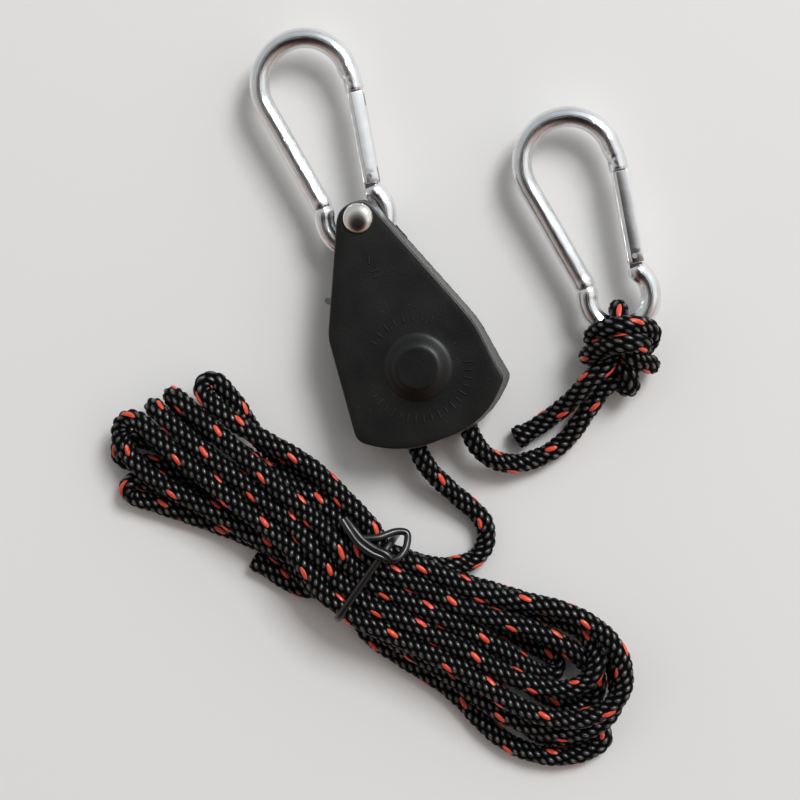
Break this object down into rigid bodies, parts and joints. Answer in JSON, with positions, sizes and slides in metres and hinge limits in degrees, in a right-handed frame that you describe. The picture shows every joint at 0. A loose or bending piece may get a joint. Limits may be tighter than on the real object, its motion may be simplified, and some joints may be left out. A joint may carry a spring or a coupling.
{
  "type": "adjustable rope ratchet hanger",
  "caption": "Adjustable hanger: a plastic rope ratchet with a steel snap hook riveted in its tip, a second snap hook knotted to the rope, and the spare rope tied in a hank.",
  "frame": {"origin": "on the sheave's axis, at the flat of the rear cover's boss, which lies on the table", "axes": "+Z out of the front cover along the sheave's axis; +Y from the sheave to the rivet that holds the top hook; +X to the side of the rope's load side"},
  "size_m": [0.1468, 0.1946, 0.0177],
  "materials": {
    "housing_plastic": "fine moulded texture",
    "zinc_plate": "bright zinc plate, lightly brushed",
    "nickel_plate": "polished",
    "cast_zinc": "as cast",
    "plain_steel": "plain",
    "braided_rope": "braided, with red-orange tracer flecks",
    "tie_plastic": "glossy plastic-coated wire"
  },
  "bodies": {
    "housing": {"front_cover": "housing_plastic", "rear_cover": "housing_plastic", "hook_rivet": "nickel_plate", "rivet_sleeve": "plain_steel", "sheave_axle": "plain_steel", "sheave_washer_front": "plain_steel", "sheave_washer_rear": "plain_steel", "pawl_pin": "plain_steel", "rope_wrap": "braided_rope", "rope_load_side": "braided_rope", "rope_tail": "braided_rope", "rope_knot": "braided_rope", "rope_free_side": "braided_rope", "rope_hank": "braided_rope", "hank_tie": "tie_plastic"},
    "sheave": {"ratchet_sheave": "cast_zinc"},
    "pawl": {"pawl": "plain_steel", "pawl_spring": "plain_steel"},
    "top_hook": {"top_hook_body": "zinc_plate"},
    "top_gate": {"top_hook_gate": "zinc_plate", "top_hook_gate_pin": "plain_steel", "top_hook_gate_spring": "plain_steel", "top_hook_gate_plunger": "plain_steel"},
    "end_hook": {"end_hook_body": "zinc_plate"},
    "end_gate": {"end_hook_gate": "zinc_plate", "end_hook_gate_pin": "plain_steel", "end_hook_gate_spring": "plain_steel", "end_hook_gate_plunger": "plain_steel"}
  },
  "joints": [
    {"name": "sheave_spin", "type": "hinge", "parent": "housing", "child": "sheave", "pos_m": [0, 0, 0.0087], "axis": [0, 0, 1], "continuous": true},
    {"name": "pawl_release", "type": "hinge", "parent": "housing", "child": "pawl", "pos_m": [-0.007, 0.0175, 0.0087], "axis": [0, 0, 1], "range_deg": [-14, 0], "stiffness_Nm_per_rad": 0.02, "springref_deg": 14.32},
    {"name": "top_hook_swing", "type": "hinge", "parent": "housing", "child": "top_hook", "pos_m": [0, 0.0388, 0.0087], "axis": [0, 0, 1], "range_deg": [-40, 40]},
    {"name": "top_gate_open", "type": "hinge", "parent": "top_hook", "child": "top_gate", "pos_m": [0.00609, 0.04758, 0.0087], "axis": [0, 0, 1], "range_deg": [0, 28], "stiffness_Nm_per_rad": 0.12, "springref_deg": -20.05},
    {"name": "end_hook_swing", "type": "hinge", "parent": "housing", "child": "end_hook", "pos_m": [0.05135, -0.0022, 0.0079], "axis": [0, 0, 1], "range_deg": [-30, 30]},
    {"name": "end_gate_open", "type": "hinge", "parent": "end_hook", "child": "end_gate", "pos_m": [0.0584, 0.00551, 0.0079], "axis": [0, 0, 1], "range_deg": [0, 28], "stiffness_Nm_per_rad": 0.12, "springref_deg": -20.05}
  ]
}
